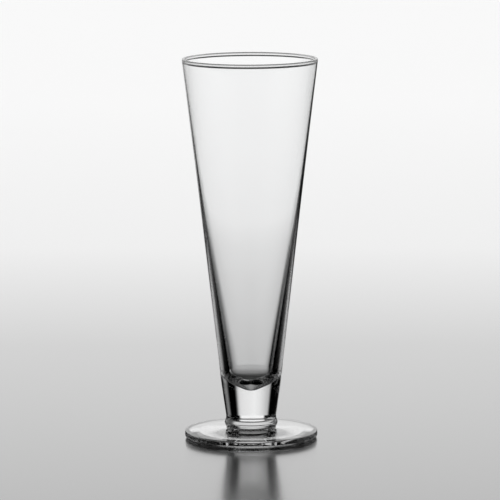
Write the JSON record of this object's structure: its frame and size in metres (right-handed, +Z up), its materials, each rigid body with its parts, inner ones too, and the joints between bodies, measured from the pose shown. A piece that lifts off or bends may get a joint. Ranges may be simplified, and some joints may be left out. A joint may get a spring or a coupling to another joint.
{
  "type": "pilsner glass",
  "caption": "Clear footed pilsner glass: a tall straight-sided flute on a short solid stem, with a bead collar and a round foot, for serving beer.",
  "frame": {"origin": "middle of the foot's resting ring, on the table", "axes": "+Z up along the glass's axis, from the foot to the rim; X and Y lie in the table, and any turn about Z is the same"},
  "size_m": [0.0742, 0.0742, 0.21],
  "materials": {
    "clear_glass": "clear colourless soda-lime glass, fire-polished and smooth"
  },
  "bodies": {
    "root": {"bowl": "clear_glass", "stem": "clear_glass", "collar": "clear_glass", "foot": "clear_glass"}
  },
  "joints": []
}
